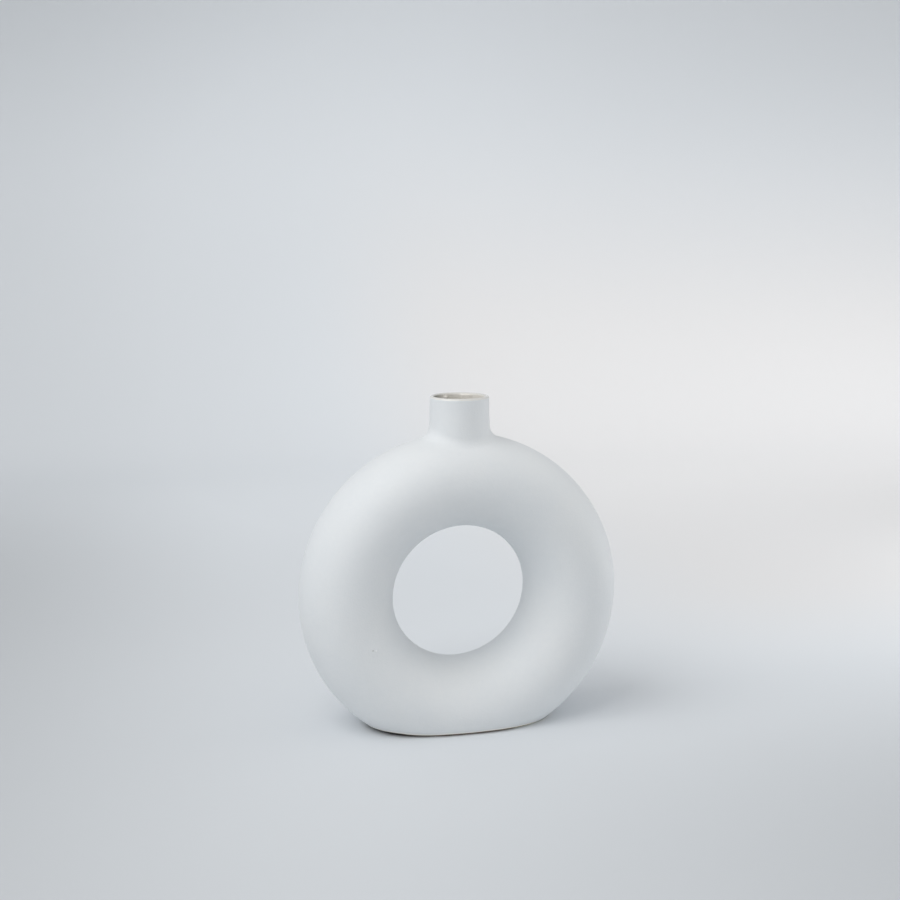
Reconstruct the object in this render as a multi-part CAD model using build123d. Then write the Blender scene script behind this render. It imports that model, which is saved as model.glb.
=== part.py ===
from build123d import *
import os

# Donut vase: a hollow upright ring of clay on a flat foot, with a short round neck on its crown.
# X runs across the ring, Y from front to back through its hole, Z up. The origin is the middle of the foot.
# The ring is pressed as two half shells and luted together, then the neck and the foot are luted on.

# Ring, over its outer face. The flat foot takes away the lowest part of the circle.
ring_width = 200.0
ring_depth = 66.0
tube_thickness = 57.0
ring_wall = 4.0
foot_cut = 17.8

# Neck, over its glazed lip. The rise is from the ring's crown to the lip.
# The flare is how much wider the neck is on each side at the tube's centre line.
neck_rise = 22.9
neck_width = 36.2
neck_wall = 2.5
neck_flare = 3.5

# Blend between neck and ring, and the strip of ring beyond it that belongs to the neck's piece.
# The ring falls away faster to front and back, so the blend reaches less far there.
root_blend = 8.5
seat_land = 1.0
blend_depth_share = 0.45

# Glaze that lines the neck, rolls over the lip and ends flush in a rebate outside it
glaze_thickness = 0.35
glaze_band = 0.25

# Foot: a slab that closes the ring, and under it a bare pad set in from the edge
foot_thickness = 5.5
foot_gap = 1.3
foot_inset = 1.6
foot_edge = 1.0

# How far a cut runs past the clay
overrun = 10.0

# Worked out from the sizes above
ring_radius = (ring_width - tube_thickness) / 2
tube_half = tube_thickness / 2
depth_half = ring_depth / 2
centre_height = ring_width / 2 - foot_cut
crown_height = centre_height + ring_radius  # the tube's centre line, straight under the neck
vase_height = crown_height + tube_half + neck_rise
neck_radius = neck_width / 2
bore_radius = neck_radius - neck_wall
lip_radius = neck_wall / 2
lip_centre_height = vase_height - lip_radius
band_height = lip_centre_height - glaze_band


def block(low, high):
    """A block that holds everything between two heights."""
    size = (ring_width + overrun, ring_depth + overrun, high - low)
    return Pos(0, 0, low) * Box(*size, align=(Align.CENTER, Align.CENTER, Align.MIN))


def ring(inset):
    """The whole ring as one solid, with its section drawn in by the inset."""
    with BuildSketch(Plane.XY) as section:
        with Locations((ring_radius, 0)):
            Ellipse(tube_half - inset, depth_half - inset)
    return Pos(0, 0, centre_height) * revolve(section.sketch, Axis.Y)


def seat():
    """The oval plug that is cut out of the ring's crown, where the neck is luted in."""
    along = neck_radius + root_blend + seat_land
    across = neck_radius + root_blend * blend_depth_share + seat_land
    return Pos(0, 0, crown_height) * extrude(Ellipse(along, across), vase_height)


def half_shell(side):
    """One pressed half of the ring's wall: side is -1 in front of the seam and 1 behind it."""
    with BuildSketch(Plane.XY) as section:
        with Locations((ring_radius, 0)):
            Ellipse(tube_half, depth_half)
            Ellipse(tube_half - ring_wall, depth_half - ring_wall, mode=Mode.SUBTRACT)
        with Locations((ring_radius, -side * depth_half)):
            Rectangle(ring_width, ring_depth, mode=Mode.SUBTRACT)
    shell = Pos(0, 0, centre_height) * revolve(section.sketch, Axis.Y)
    return shell - seat() - block(-ring_width, foot_thickness)


def neck_form():
    """The neck as if it were solid, straight up from its flared root to the height of the lip."""
    with BuildSketch(Plane.XZ) as profile:
        with BuildLine():
            base = Line((0, crown_height), (neck_radius + neck_flare, crown_height))
            flare = TangentArc((neck_radius, band_height), base @ 1, tangent=(0, -1))
            side = Line(flare @ 0, (neck_radius, vase_height))
            top = Line(side @ 1, (0, vase_height))
            Line(top @ 1, base @ 0)
        make_face()
    return revolve(profile.sketch, Axis.Z)


def mouth_form():
    """All that isn't clay in the neck: its bore, the space over its rounded lip and the glaze's rebate."""
    with BuildSketch(Plane.XZ) as profile:
        with BuildLine():
            base = Line((0, crown_height), (bore_radius + glaze_thickness, crown_height))
            inside = Line(base @ 1, (bore_radius + glaze_thickness, lip_centre_height))
            lip = JernArc(inside @ 1, (0, 1), lip_radius - glaze_thickness, -180)
            rebate = Line(lip @ 1, (neck_radius - glaze_thickness, band_height))
            ledge = Line(rebate @ 1, (neck_radius + overrun, band_height))
            outside = Line(ledge @ 1, (neck_radius + overrun, vase_height + overrun))
            top = Line(outside @ 1, (0, vase_height + overrun))
            Line(top @ 1, base @ 0)
        make_face()
    return revolve(profile.sketch, Axis.Z)


def mouth_glaze():
    """The glaze: up the bore from the ring's hollow, over the lip and a little way down outside."""
    with BuildSketch(Plane.XZ) as profile:
        with BuildLine():
            outside = Line((neck_radius, band_height), (neck_radius, lip_centre_height))
            over = JernArc(outside @ 1, (0, 1), lip_radius, 180)
            inside = Line(over @ 1, (bore_radius, crown_height))
            end = Line(inside @ 1, (bore_radius + glaze_thickness, crown_height))
            back = Line(end @ 1, (bore_radius + glaze_thickness, lip_centre_height))
            under = JernArc(back @ 1, (0, 1), lip_radius - glaze_thickness, -180)
            rebate = Line(under @ 1, (neck_radius - glaze_thickness, band_height))
            Line(rebate @ 1, outside @ 0)
        make_face()
    return revolve(profile.sketch, Axis.Z) - ring(ring_wall)


def neck_collar():
    """The neck with the oval of ring wall round its root, the two blended into each other outside."""
    whole = ring(0) + neck_form()
    root = whole.edges().filter_by(GeomType.BSPLINE)
    whole = fillet(root, root_blend)
    return (whole & seat()) - ring(ring_wall) - mouth_form()


def foot_slice(inset):
    """The slice of the ring, drawn in by the inset, that the foot takes up."""
    return ring(inset) & block(foot_gap, foot_thickness)


def underside(slab):
    """The flat face of a slice that looks down."""
    return slab.faces().filter_by(Plane.XY).sort_by(Axis.Z)[0]


def foot_slab():
    """The slab that closes the ring below, its lower edge rounded, over the bare pad that meets the table."""
    slab = fillet(underside(foot_slice(0)).edges(), foot_edge)
    pad = extrude(underside(foot_slice(foot_inset)), foot_gap)
    return slab + pad


pieces = {
    "front_shell": half_shell(-1),
    "back_shell": half_shell(1),
    "neck_collar": neck_collar(),
    "mouth_glaze": mouth_glaze(),
    "foot_slab": foot_slab(),
}

os.makedirs("parts", exist_ok=True)
for name, piece in pieces.items():
    export_step(piece, f"parts/{name}.step")
    print(f"{name}: {len(piece.solids())} solid, {piece.volume:.0f} mm3")
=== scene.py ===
# %% [markdown]
# Donut vase: a hollow ring of clay that stands on a flat foot, with a short round neck. This lesson
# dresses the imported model. It sets the camera, gives the clay and the glaze their finish, adds the runs
# of the glaze and a burst bubble in the coat, and lights a pale photo studio. Everything is in metres,
# with the middle of the foot at the origin and Z up.

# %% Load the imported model
import bmesh
import bpy
from math import atan2, degrees, exp, pi, radians
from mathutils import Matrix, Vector, noise


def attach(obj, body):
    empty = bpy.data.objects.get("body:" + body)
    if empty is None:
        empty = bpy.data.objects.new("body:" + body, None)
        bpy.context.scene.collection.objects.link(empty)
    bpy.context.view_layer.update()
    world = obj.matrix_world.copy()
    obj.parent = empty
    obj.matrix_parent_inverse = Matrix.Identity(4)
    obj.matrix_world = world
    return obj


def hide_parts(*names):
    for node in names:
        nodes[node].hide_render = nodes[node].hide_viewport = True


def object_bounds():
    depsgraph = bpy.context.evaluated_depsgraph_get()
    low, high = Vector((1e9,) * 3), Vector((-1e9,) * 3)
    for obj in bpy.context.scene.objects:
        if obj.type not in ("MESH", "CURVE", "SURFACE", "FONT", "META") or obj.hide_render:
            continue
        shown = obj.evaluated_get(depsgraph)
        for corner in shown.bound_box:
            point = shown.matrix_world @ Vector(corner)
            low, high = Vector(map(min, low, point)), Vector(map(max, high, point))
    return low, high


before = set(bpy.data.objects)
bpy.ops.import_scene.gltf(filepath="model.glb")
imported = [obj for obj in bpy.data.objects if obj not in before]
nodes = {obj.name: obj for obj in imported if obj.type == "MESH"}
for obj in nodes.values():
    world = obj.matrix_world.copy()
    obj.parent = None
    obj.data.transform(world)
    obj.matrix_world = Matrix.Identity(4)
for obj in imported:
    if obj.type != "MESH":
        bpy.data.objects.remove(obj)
cad_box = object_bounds()
print("nodes:", sorted(nodes))

# %% [markdown]
# The camera comes first, because every later choice is judged through it. The photographer stood a
# little to the left and looked slightly down, with a normal lens.

# %% Camera
camera_place = (-0.18365, -0.73063, 0.2958)
camera_yaw, camera_pitch = 13.67, 9.37
lens, sensor_width = 49.87, 36


def placed(name, data):
    """A new object in the scene that carries the data."""
    made = bpy.data.objects.new(name, data)
    bpy.context.scene.collection.objects.link(made)
    return made


camera_data = bpy.data.cameras.new("camera")
camera_data.lens = lens
camera_data.sensor_width = sensor_width
camera = placed("camera", camera_data)
camera.location = camera_place
camera.rotation_euler = (radians(90 - camera_pitch), 0, -radians(camera_yaw))
bpy.context.scene.camera = camera
print("camera at", tuple(round(side, 3) for side in camera.location))

# %% [markdown]
# A material is a graph of nodes. Written one node at a time it is long and hard to read, so two small
# helpers carry it. Value wraps an output, so that ordinary sums make the maths nodes. Recipe makes every
# other node.

# %% Helpers for materials
class Value:
    """An output of a material's graph that can be used in ordinary sums."""

    def __init__(self, recipe, socket):
        self.recipe = recipe
        self.socket = socket

    def sum(self, operation, *others):
        inputs = dict(enumerate((self, *others)))
        return self.recipe.node("ShaderNodeMath", {"operation": operation}, inputs)

    def __add__(self, other):
        return self.sum("ADD", other)

    def __radd__(self, other):
        return self.sum("ADD", other)

    def __mul__(self, other):
        return self.sum("MULTIPLY", other)

    def __rmul__(self, other):
        return self.sum("MULTIPLY", other)

    def __sub__(self, other):
        return self.sum("SUBTRACT", other)

    def __rsub__(self, other):
        return (self * -1).sum("ADD", other)

    def __truediv__(self, other):
        return self.sum("DIVIDE", other)

    def __pow__(self, other):
        return self.sum("POWER", other)

    def ramp(self, low, high):
        """0 below low, 1 above high and smooth between. With low above high it falls instead."""
        settings = {"interpolation_type": "SMOOTHSTEP"}
        inputs = {"Value": self, "From Min": min(low, high), "From Max": max(low, high)}
        inputs.update({"To Min": float(low > high), "To Max": float(low < high)})
        return self.recipe.node("ShaderNodeMapRange", settings, inputs)


class Recipe:
    """A material under construction."""

    def __init__(self, name):
        self.material = bpy.data.materials.new(name)
        self.material.use_nodes = True
        self.tree = self.material.node_tree
        self.tree.nodes.clear()
        self.output = self.tree.nodes.new("ShaderNodeOutputMaterial")
        self.place = self.node("ShaderNodeTexCoord", output="Object")
        split = self.node("ShaderNodeSeparateXYZ", inputs={"Vector": self.place}).socket.node
        self.x, self.y, self.z = (Value(self, split.outputs[axis]) for axis in "XYZ")

    def node(self, kind, settings=None, inputs=None, output=0):
        """Makes a node: its settings first, then the values or links of its sockets."""
        made = self.tree.nodes.new(kind)
        for name, value in (settings or {}).items():
            setattr(made, name, value)
        for name, value in (inputs or {}).items():
            if isinstance(value, Value):
                self.tree.links.new(value.socket, made.inputs[name])
            else:
                made.inputs[name].default_value = value
        return Value(self, made.outputs[output])

    def blend(self, factor, first, second):
        """The first colour where the factor is 0 and the second where it is 1."""
        settings = {"data_type": "RGBA"}
        return self.node("ShaderNodeMix", settings, {0: factor, 6: first, 7: second}, output=2)

    def noise(self, size, detail=1.0):
        """A soft random pattern from 0 to 1, whose patches are about so many metres across."""
        inputs = {"Vector": self.place, "Scale": 1 / size, "Detail": detail}
        return self.node("ShaderNodeTexNoise", None, inputs)

    def relief(self, height, **normal):
        """The surface raised by a height in millimetres, over its own normal or another one."""
        return self.node("ShaderNodeBump", None, {"Height": height, "Distance": 0.001, **normal})

    def principled(self, colour, roughness, normal):
        inputs = {"Base Color": colour, "Roughness": roughness, "Normal": normal}
        self.finish(self.node("ShaderNodeBsdfPrincipled", None, inputs))

    def finish(self, shader):
        self.tree.links.new(shader.socket, self.output.inputs["Surface"])
        print("material:", self.material.name, "with", len(self.tree.nodes), "nodes")


# %% [markdown]
# The potter brushed a matte white coat over the clay, poured a cream gloss glaze through the neck and
# wiped the foot clean. One firing fixed all three, so their borders waver by a few tenths of a
# millimetre, as a brush, a liquid and a sponge leave them. Each border is a place on the vase, so the
# same functions find it on whichever piece it crosses: the hollow lies inside the ring's oval section,
# the hem lies under the lip, and the wiped edge lies just above the table.

# %% Where each finish lies
ring_half, depth_half, vase_height = (round(side, 4) for side in cad_box[1])
foot_cut, tube_half = 0.0178, 0.0285
ring_centre, ring_radius = ring_half - foot_cut, ring_half - tube_half
neck_radius, lip_radius = 0.0181, 0.00125
lip_middle, lip_height = neck_radius - lip_radius, vase_height - lip_radius
hem_height = 0.2041


def inside_ring(recipe):
    """1 in the ring's hollow and 0 on its outer face. The border is inside the wall, where nothing shows."""
    out = (recipe.x * recipe.x + (recipe.z - ring_centre) ** 2) ** 0.5 - ring_radius
    section = ((out / tube_half) ** 2 + (recipe.y / depth_half) ** 2) ** 0.5
    return section.ramp(0.96, 0.93)


def from_axis(recipe):
    """Distance from the neck's axis."""
    return (recipe.x ** 2 + recipe.y ** 2) ** 0.5


def above_hem(recipe):
    """1 above the uneven hem of the glaze, just under the lip."""
    sag = (recipe.noise(0.007, 2) - 0.5) * 0.0008 + (recipe.noise(0.03) - 0.5) * 0.0006
    return (recipe.z - hem_height + sag).ramp(-0.0003, 0.0003)


def below(recipe, height, waver):
    """1 below a height over the table, on a border that wavers."""
    uneven = (recipe.noise(0.009, 2) - 0.5) * (waver * 2)
    return (recipe.z - height + uneven).ramp(0.00015, -0.00015)


print("ring's middle at", round(ring_centre, 4), "and its tube's line at", round(ring_radius, 4))

# %% [markdown]
# The coat is almost white and quite matte. It isn't a flat colour: brushing leaves it a little thicker
# and cooler in soft patches, and its surface has the fine tooth of fired slip over clay that hands have
# pressed and sponged into slow, shallow waves. The tooth and the waves are heights, so they are bump.
# The cream glaze is liquid when hot, so it is smooth. It is thin and a little grey where it rolls over
# the lip and thick and creamy down the bore. The bore's left wall, which faces away from the window,
# is painted dark grey as painted shade.

# %% Finishes of the coat and the glaze
coat_colour, coat_cool = (0.775, 0.795, 0.805, 1), (0.745, 0.772, 0.79, 1)
cream_colour, cream_thin = (0.83, 0.805, 0.755, 1), (0.72, 0.715, 0.685, 1)
cream_pooled, painted_shade_grey = (0.74, 0.71, 0.645, 1), (0.26, 0.26, 0.245, 1)
coat_roughness, glaze_roughness, bare_roughness = 0.58, 0.12, 0.85


def coat_parts(recipe):
    """The coat's colour, roughness and height."""
    wide_patches = recipe.noise(0.045, 2).ramp(0.3, 0.7)
    small_patches = recipe.noise(0.003, 3).ramp(0.3, 0.7)
    colour = recipe.blend(wide_patches * 0.7 + small_patches * 0.3, coat_colour, coat_cool)
    roughness = coat_roughness - 0.07 + recipe.noise(0.012, 3) * 0.14
    height = recipe.noise(0.0011, 3) * 0.09 + recipe.noise(0.03) * 0.3
    return colour, roughness, height


def glaze_parts(recipe):
    """The glaze's colour, roughness and height."""
    pools = recipe.noise(0.009, 2).ramp(0.35, 0.75)
    colour = recipe.blend(pools, cream_colour, cream_pooled)
    over_lip = (recipe.z + (recipe.noise(0.005, 2) - 0.5) * 0.0006).ramp(0.2041, 0.2046)
    colour = recipe.blend(over_lip, colour, cream_thin)
    # Painted shade: the bore's left wall, which faces away from the window, is painted dark grey.
    left_painted_shade = (recipe.x + (recipe.noise(0.004, 2) - 0.5) * 0.002).ramp(-0.006, -0.0145)
    left_painted_shade = left_painted_shade * recipe.z.ramp(0.2046, 0.2041) * recipe.z.ramp(0.196, 0.2)
    in_bore = from_axis(recipe).ramp(0.0165, 0.0163)
    colour = recipe.blend(left_painted_shade * in_bore, colour, painted_shade_grey)
    roughness = glaze_roughness + recipe.noise(0.004, 2) * 0.1
    height = recipe.noise(0.006) * 0.16 + recipe.noise(0.0016) * 0.02
    return colour, roughness, height


def mixed(recipe, where, first, second):
    """Two finishes, the second where the mask is 1."""
    colour = recipe.blend(where, first[0], second[0])
    roughness = first[1] + (second[1] - first[1]) * where
    height = first[2] + (second[2] - first[2]) * where
    return colour, roughness, height


shell = Recipe("coated_shell")
parts = mixed(shell, inside_ring(shell), coat_parts(shell), glaze_parts(shell))
shell.principled(parts[0], parts[1], shell.relief(parts[2]))

# %% [markdown]
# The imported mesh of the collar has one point, on the neck's left side, where thin faces meet and whose
# normal leans down by 30 degrees. It would show as a scratch four millimetres long. The mesh stays as it
# is, and in that small window the finish takes the normal of the neck's true form: straight out from its
# axis and a touch upwards.

# %% Finish of the neck and its glaze
def neck_normal(recipe):
    """The mesh's own normal, but the neck's true one in the window over the leaning point."""
    window = recipe.x.ramp(0.0, -0.01) * recipe.y.ramp(-0.0004, -0.0002) * recipe.y.ramp(0.0011, 0.0009)
    window = window * recipe.z.ramp(0.1867, 0.18685) * recipe.z.ramp(0.1914, 0.1911)
    own = recipe.node("ShaderNodeNewGeometry", output="Normal")
    outward = recipe.node("ShaderNodeCombineXYZ", None, {"X": recipe.x, "Y": recipe.y, "Z": 0.0007})
    outward = recipe.node("ShaderNodeVectorMath", {"operation": "NORMALIZE"}, {0: outward})
    return recipe.node("ShaderNodeMix", {"data_type": "VECTOR"}, {0: window, 4: own, 5: outward}, output=1)


collar = Recipe("coated_collar")
glazed = inside_ring(collar).sum("MAXIMUM", above_hem(collar))
parts = mixed(collar, glazed, coat_parts(collar), glaze_parts(collar))
collar.principled(parts[0], parts[1], collar.relief(parts[2], Normal=neck_normal(collar)))

glaze = Recipe("cream_glaze")
outer_side = from_axis(glaze).ramp(lip_middle, lip_middle + 0.0006)
coated = (1 - above_hem(glaze)) * outer_side
parts = mixed(glaze, coated, glaze_parts(glaze), coat_parts(glaze))
glaze.principled(parts[0], parts[1], glaze.relief(parts[2]))

# %% [markdown]
# The foot was wiped before firing. Over the table comes a bare pad, rough and brown, then a narrow line
# where the sponge left a thin cream film, and then the coat. The film is painted whiter than the coat, as
# painted light on the edge that faces down. The bare line is brown clay with painted shade from the gap
# under the edge: from left to right it grows narrower, and it goes from almost black through brown to
# tan, where the tan is painted light on the shadow side.

# %% Finish of the foot
# The sponge's cream film, made whiter than the coat as painted light on the edge that faces down into shade.
film_and_painted_light = (0.93, 0.92, 0.86, 1)
dark_spots_and_painted_shade, bare_brown, tan_painted_light = (0.018, 0.018, 0.021, 1), (0.24, 0.20, 0.165, 1), (0.80, 0.78, 0.64, 1)
film_width = 0.0009
foot = Recipe("foot_clay")
parts = mixed(foot, inside_ring(foot), coat_parts(foot), glaze_parts(foot))
# The bare line, which carries the painted shade, is widest at the left and narrowest at the right.
bare_height = 0.0014 + 0.0013 * foot.x.ramp(-0.025, -0.05) - 0.0004 * foot.x.ramp(0.02, 0.05)
film = (film_and_painted_light, foot.noise(0.002, 2) * 0.2 + 0.4, foot.noise(0.002, 2) * 0.03)
parts = mixed(foot, below(foot, bare_height + film_width, 0.0004), parts, film)
spots = foot.noise(0.0012, 3).ramp(0.45, 0.75)
# Painted shade and painted light on the brown clay: almost black at the left, and tan at the right as
# painted light on the shadow side. The random dark spots are the clay's own.
clay = foot.blend(foot.x.ramp(-0.02, -0.052), bare_brown, dark_spots_and_painted_shade)
clay = foot.blend(foot.x.ramp(0.015, 0.05), clay, tan_painted_light)
clay = foot.blend(spots * 0.4, clay, dark_spots_and_painted_shade)
bare = (clay, foot.noise(0.003, 2) * 0.1 + bare_roughness - 0.05, spots * 0.06)
parts = mixed(foot, below(foot, bare_height, 0.0003), parts, bare)
foot.principled(parts[0], parts[1], foot.relief(parts[2]))

# %% Dress the nodes
recipe_of = {
    "front_shell": shell,
    "back_shell": shell,
    "neck_collar": collar,
    "mouth_glaze": glaze,
    "foot_slab": foot,
}
for name, recipe in recipe_of.items():
    nodes[name].material_slots[0].material = recipe.material
print("dressed:", len(recipe_of), "nodes")

# %% [markdown]
# The glaze in the mouth is a skin a third of a millimetre thick. It was poured through the neck and ran
# before it set, so its face isn't as true as a turned form: it ripples, a drop hangs inside at the back,
# left of the middle, and a thick run rounds off the lip's inner edge right of it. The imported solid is
# exact, so a piece with these runs stands for it. It is one line, from the hem over the lip and down the
# bore to the ring's hollow: a short edge, a half turn about the lip's middle, and three edges drawn down
# and cut into short steps, finest where the runs lie.

# %% Line of the glaze
glaze_end, lip_steps = 0.2036, 16
# Down the bore, each stretch's depth and how often it is cut
bore_stretches = ((0.0026, 12), (0.006, 5), (0.02, 3))


def drawn_down(line, top, depth, cuts):
    """Draws a vertex straight down, cuts its edge into steps and gives the lowest vertex."""
    grown = bmesh.ops.extrude_vert_indiv(line, verts=[top])
    bmesh.ops.translate(line, verts=grown["verts"], vec=(0, 0, -depth))
    bmesh.ops.subdivide_edges(line, edges=grown["edges"], cuts=cuts)
    return min(line.verts, key=lambda vert: vert.co.z)


lip = bmesh.new()
start = [lip.verts.new((neck_radius, 0, height)) for height in (glaze_end, lip_height)]
lip.edges.new(start)
half_turn = {"cent": (lip_middle, 0, lip_height), "axis": (0, 1, 0), "angle": -pi, "steps": lip_steps}
low = bmesh.ops.spin(lip, geom=[start[1]], **half_turn)["geom_last"][0]
for depth, cuts in bore_stretches:
    low = drawn_down(lip, low, depth, cuts)
print("line:", len(lip.verts), "points, lowest at", round(low.co.z, 4))

# %% [markdown]
# The line is spun round the neck's axis. Its lowest points drop to where the bore meets the ring's
# hollow, which is a saddle, lower at front and back. The skin gets its thickness towards the clay, and
# only its visible face is moved afterwards, so that its back stays on the clay.

# %% Skin of the glaze
ring_wall, skin_depth, round_steps = 0.004, 0.00035, 300
same_place = 0.000001


def hollow_height(x, y):
    """Height of the top of the ring's hollow at a place under the neck."""
    out = ring_radius + (tube_half - ring_wall) * (1 - (y / (depth_half - ring_wall)) ** 2) ** 0.5
    return ring_centre + (out * out - x * x) ** 0.5


whole_turn = {"cent": (0, 0, 0), "axis": (0, 0, 1), "angle": 2 * pi, "steps": round_steps, "use_merge": True}
end_height = low.co.z
bmesh.ops.spin(lip, geom=lip.verts[:] + lip.edges[:], **whole_turn)
bmesh.ops.remove_doubles(lip, verts=lip.verts[:], dist=same_place)
bmesh.ops.recalc_face_normals(lip, faces=lip.faces[:])
face = lip.verts[:]
bmesh.ops.solidify(lip, geom=lip.faces[:], thickness=skin_depth)
for vert in lip.verts:
    if vert.co.z < end_height + 0.001:
        vert.co.z = hollow_height(vert.co.x, vert.co.y)
lip.normal_update()
print("skin:", len(lip.faces), "faces,", round(lip.calc_volume() * 1e9), "cubic mm")

# %% [markdown]
# The runs are three small rises that add up: slow ripples from a noise, the drop, and the thick run.
# Each face point moves along its own normal. The ripples only lower the face, and the drop and the run
# lie inside the mouth, so the lip keeps the size that was packed. Turns are in degrees round the neck's
# axis, from the right.

# %% Runs of the glaze
ripple_depth, ripple_size = 0.00005, 0.006
drop_turn, drop_height, drop_rise = 109.6, 0.2023, 0.001
run_start, run_end, run_top, run_low, run_rise = 43, 76, 0.2049, 0.193, 0.0009
sharp_angle = radians(50)


def ease(amount):
    """0 below 0, 1 above 1 and smooth between."""
    amount = min(max(amount, 0), 1)
    return amount * amount * (3 - 2 * amount)


def rise(place):
    """How far the glaze stands out at a place, in metres."""
    turn = degrees(atan2(place.y, place.x))
    wave = 1 + noise.noise(place / ripple_size)
    ripple = -ripple_depth * wave * ease((place.z - glaze_end) / 0.0004)
    if place.to_2d().length > lip_middle:
        return ripple
    drop = drop_rise * exp(-((turn - drop_turn) / 5) ** 2 - ((place.z - drop_height) / 0.0009) ** 2)
    sides = ease((turn - run_start) / 12) * ease((run_end - turn) / 6)
    run = run_rise * sides * ease((run_top - place.z) / 0.0014) * ease((place.z - run_low) / 0.007)
    return ripple + drop + run


def modelled(name, form):
    """The finished form as a smooth object that keeps its sharp edges."""
    mesh = bpy.data.meshes.new(name)
    form.to_mesh(mesh)
    form.free()
    mesh.shade_smooth()
    mesh.set_sharp_from_angle(angle=sharp_angle)
    return placed(name, mesh)


moves = [(vert, vert.normal * rise(vert.co)) for vert in face if vert.co.z > 0.19]
for vert, move in moves:
    vert.co += move
bmesh.ops.recalc_face_normals(lip, faces=lip.faces[:])
lip_glaze = modelled("lip_glaze", lip)
lip_glaze.data.materials.append(glaze.material)
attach(lip_glaze, "root")
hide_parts("mouth_glaze")
greatest = max(move.length for vert, move in moves)
print("lip_glaze:", len(lip_glaze.data.polygons), "faces, greatest move", round(greatest * 1000, 2), "mm")

# %% [markdown]
# Low on the front, a bubble in the coat burst in the fire. It left a pit hardly a millimetre wide, and
# beside it the coat that it threw out as a bead. The pit is painted grey as painted shade, and the bead
# is painted whiter as a painted highlight. The shell's own mesh stays as it is, so this is a small patch
# of the same coat laid over it: a grid, each of whose points is put on the shell and then raised or
# lowered by its distance from the middle, the pit and the bead. It rises gently, and its border lies
# under the coat.

# %% Place and finish of the burst bubble
pit_place, bead_place = Vector((-0.0606, -0.03216, 0.0586)), Vector((-0.05877, -0.03168, 0.0583))
bubble_middle = (pit_place + bead_place) / 2
pit_painted_shade, bead_painted_highlight = (0.55, 0.55, 0.55, 1), (0.95, 0.96, 0.97, 1)
border_depth, mound_rise, pit_depth, bead_rise = 0.00003, 0.00016, 0.00012, 0.00022


def bubble_rise(place):
    """Height of the patch over the shell at a place, in metres."""
    mound = 1 - ease(((place - bubble_middle).length - 0.001) / 0.0045)
    pit = 1 - ease((place - pit_place).length / 0.0008)
    bead = 1 - ease((place - bead_place).length / 0.0009)
    return -border_depth + mound_rise * mound - pit_depth * pit + bead_rise * bead


def near(recipe, place, reach):
    """1 at a place and 0 beyond its reach."""
    apart = (recipe.x - place.x) ** 2 + (recipe.y - place.y) ** 2 + (recipe.z - place.z) ** 2
    return (apart ** 0.5).ramp(reach, reach * 0.3)


healed = Recipe("healed_coat")
parts = coat_parts(healed)
# Painted shade in the pit and a painted highlight on the bead.
colour = healed.blend(near(healed, pit_place, 0.0007), parts[0], pit_painted_shade)
colour = healed.blend(near(healed, bead_place, 0.0008), colour, bead_painted_highlight)
healed.principled(colour, parts[1], healed.relief(parts[2]))

# %% Patch of the burst bubble
patch_reach, patch_steps, patch_depth = 0.006, 60, 0.0002
carrier = nodes["front_shell"]
middle, facing = carrier.closest_point_on_mesh(bubble_middle)[1:3]
to_shell = facing.to_track_quat("Z", "Y").to_matrix()
bubble = bmesh.new()
bmesh.ops.create_grid(bubble, x_segments=patch_steps, y_segments=patch_steps, size=patch_reach)
for vert in bubble.verts:
    place = carrier.closest_point_on_mesh(middle + to_shell @ vert.co)[1]
    vert.co = place + facing * bubble_rise(place)
bmesh.ops.recalc_face_normals(bubble, faces=bubble.faces[:])
if next(iter(bubble.faces)).normal.dot(facing) < 0:
    bmesh.ops.reverse_faces(bubble, faces=bubble.faces[:])
bmesh.ops.solidify(bubble, geom=bubble.faces[:], thickness=patch_depth)
burst_bubble = modelled("burst_bubble", bubble)
burst_bubble.data.materials.append(healed.material)
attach(burst_bubble, "root")
where = tuple(round(side, 4) for side in middle)
print("burst_bubble at", where, "with", len(burst_bubble.data.polygons), "faces")

# %% [markdown]
# The studio is one sheet of pale paper that lies under the vase and curves up behind it, so no corner
# shows. It is a line of two points, drawn back along the floor, spun through a quarter turn and drawn
# up: three operators.

# %% Studio paper
half_width, front_edge, curve_start, curve_radius, wall_height = 7, -7, 0.9, 0.7, 1.8
curve_steps, close = 24, 0.001


def drawn(sheet, edges, way):
    """Draws the sheet's last edge along a way and gives the new edge."""
    grown = bmesh.ops.extrude_edge_only(sheet, edges=edges)["geom"]
    points = [part for part in grown if isinstance(part, bmesh.types.BMVert)]
    bmesh.ops.translate(sheet, verts=points, vec=way)
    return [part for part in grown if isinstance(part, bmesh.types.BMEdge)]


sheet = bmesh.new()
ends = [sheet.verts.new((side * half_width, front_edge, 0)) for side in (-1, 1)]
edge = drawn(sheet, [sheet.edges.new(ends)], (0, curve_start - front_edge, 0))
edge = [part for part in edge if all(abs(v.co.y - curve_start) < close for v in part.verts)]
turn = {"cent": (0, curve_start, curve_radius), "axis": (1, 0, 0), "angle": pi / 2, "steps": curve_steps}
curve = bmesh.ops.spin(sheet, geom=edge + list(edge[0].verts), **turn)["geom_last"]
drawn(sheet, [part for part in curve if isinstance(part, bmesh.types.BMEdge)], (0, 0, wall_height))
bmesh.ops.remove_doubles(sheet, verts=sheet.verts[:], dist=0.0001)
bmesh.ops.recalc_face_normals(sheet, faces=sheet.faces[:])
paper = modelled("paper", sheet)
print("paper:", len(paper.data.polygons), "faces")

# %% [markdown]
# The paper in the photograph isn't evenly bright. It is dimmer at the left and near the camera, and
# glows softly at the right behind the vase. Turning up a lamp for that would light the vase too, so the
# paper itself carries the change: along is the way over the sheet from front to back, and a few slow
# ramps over it and over X make the tone. Where the tone asks for more than white paper can give back,
# the rest is a glow that only the camera and reflections see. Outside the picture the lamps light the
# paper less and less, so there its tone rises to the room's, and hardly a horizon shows when the vase is
# seen from its sides.

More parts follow.
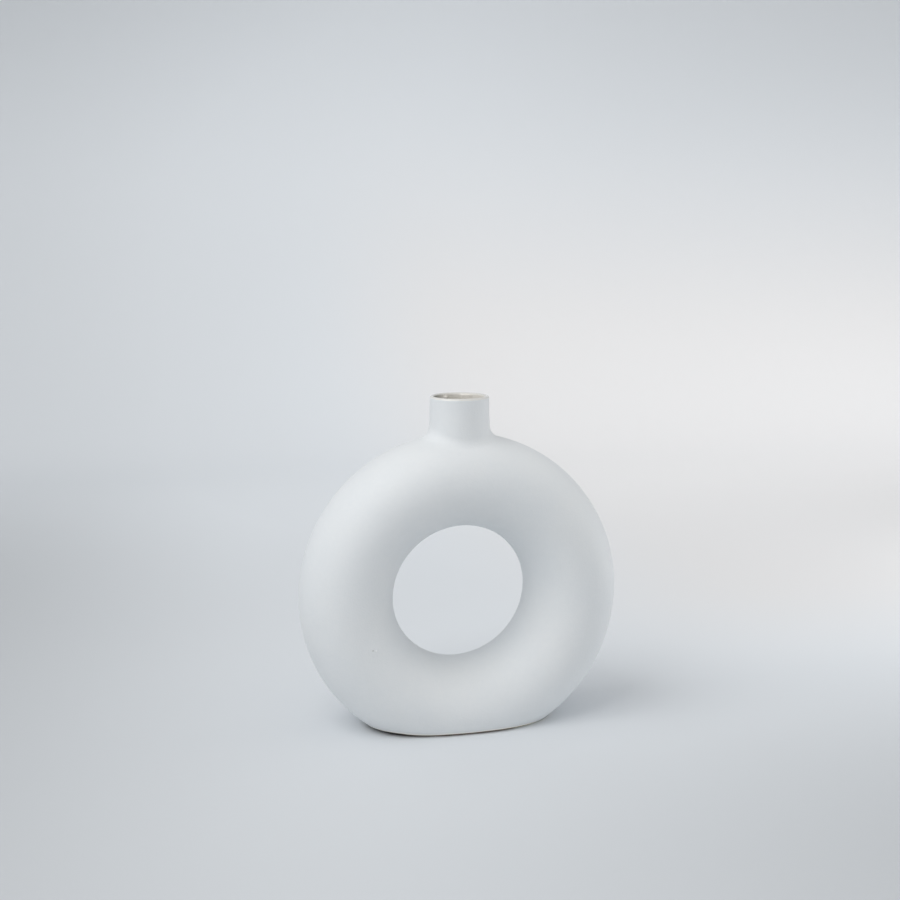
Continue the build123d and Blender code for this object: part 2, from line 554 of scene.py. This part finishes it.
# %% Finish of the paper
paper_tone, room_tone, white_paper, glow_share = 0.832, 1.36, 1.1, 0.55
paper_cool, paper_warm = (0.74, 0.77, 0.80, 1), (0.768, 0.766, 0.77, 1)
picture_x, picture_y, picture_reach, room_reach = 0.35, 0.75, 1.25, 2.1
sheet_paper = Recipe("studio_paper")
across, along = sheet_paper.x, sheet_paper.y + sheet_paper.z
tone = paper_tone * (1 + 0.38 * across.ramp(-0.62, 0.47)) * (1 + 0.15 * along.ramp(0.22, 0.79))
tone = tone * (1 - 0.6 * along.ramp(1.87, 3.26))
near_right = across.ramp(-0.38, 0.5) * along.ramp(0.13, -0.28)
near_left = across.ramp(-0.06, -0.39) * along.ramp(1.14, 0.38)
tone = tone * (1 - 0.4 * near_right) * (1 - 0.22 * near_left)
off_glow = (((across - 1.21) / 1.5) ** 2 + ((along - 1.08) / 1.19) ** 2) ** 0.5
tone = tone + 0.42 * off_glow.ramp(1.0, 0.0)
off_picture = ((across - picture_x) ** 2 + (sheet_paper.y - picture_y) ** 2) ** 0.5
tone = tone + (room_tone - tone) * off_picture.ramp(picture_reach, room_reach)
warmth = across.ramp(0.05, 0.35) * along.ramp(0.0, 0.25) * along.ramp(2.2, 1.4)
paper_colour = sheet_paper.blend(warmth, paper_cool, paper_warm)
print("tone:", paper_tone, "in the middle,", room_tone, "from", room_reach, "m on")

# %% Light that the paper gives back
dull = tone.sum("MINIMUM", white_paper)
glow = (tone - white_paper).sum("MAXIMUM", 0.0) * glow_share
scaled = {"operation": "SCALE"}
dull_colour = sheet_paper.node("ShaderNodeVectorMath", scaled, {0: paper_colour, "Scale": dull})
glow_colour = sheet_paper.node("ShaderNodeVectorMath", scaled, {0: paper_colour, "Scale": glow})
diffuse = sheet_paper.node("ShaderNodeBsdfDiffuse", None, {"Color": dull_colour})
light = sheet_paper.node("ShaderNodeEmission", None, {"Color": glow_colour})
lit = sheet_paper.node("ShaderNodeAddShader", None, {0: diffuse, 1: light})
path = sheet_paper.node("ShaderNodeLightPath").socket.node
seen = Value(sheet_paper, path.outputs["Is Camera Ray"]) + Value(sheet_paper, path.outputs["Is Glossy Ray"])
sheet_paper.finish(sheet_paper.node("ShaderNodeMixShader", None, {0: seen, 1: diffuse, 2: lit}))
paper.data.materials.append(sheet_paper.material)

# %% [markdown]
# The light is soft and comes from the left and above, as from a large window. A short strip near the
# floor at the right, as weak as a sheet of white card, keeps the shadow side open and draws the pale
# line down the vase's right edge. The world, as bright on every side, does the rest. The camera sees it
# in the paper's colour, so that the paper seems to go on.

# %% Lamps
vase_middle = Vector((0, 0, 0.1))


def panel(name, place, size, power):
    """A soft lamp, so wide and so high, that looks at the middle of the vase."""
    data = bpy.data.lights.new(name, "AREA")
    data.shape = "RECTANGLE"
    data.size, data.size_y = size
    data.energy = power
    lamp = placed(name, data)
    lamp.location = place
    lamp.rotation_euler = (vase_middle - Vector(place)).to_track_quat("-Z", "Y").to_euler()
    print("lamp:", name, "of", power, "W")


panel("window", (-0.99, -0.462, 1.402), (1.4, 1.4), 14.15)
panel("card", (0.74, 0, 0.085), (0.5, 0.14), 0.93)

# %% World
room_strength, seen_strength = 0.621, 0.85
world = bpy.data.worlds.new("studio")
world.use_nodes = True
world_nodes, world_links = world.node_tree.nodes, world.node_tree.links
world_nodes["Background"].inputs["Color"].default_value = (1, 1, 1, 1)
world_nodes["Background"].inputs["Strength"].default_value = room_strength
seen_room = world_nodes.new("ShaderNodeBackground")
seen_room.inputs["Color"].default_value = paper_cool
seen_room.inputs["Strength"].default_value = seen_strength
choice = world_nodes.new("ShaderNodeMixShader")
ray = world_nodes.new("ShaderNodeLightPath")
world_links.new(ray.outputs["Is Camera Ray"], choice.inputs[0])
world_links.new(world_nodes["Background"].outputs[0], choice.inputs[1])
world_links.new(seen_room.outputs[0], choice.inputs[2])
world_links.new(choice.outputs[0], world_nodes["World Output"].inputs["Surface"])
bpy.context.scene.world = world
bpy.context.scene.view_settings.view_transform = "Standard"
print("world:", room_strength, "as light and", seen_strength, "as seen")

# %% Finish
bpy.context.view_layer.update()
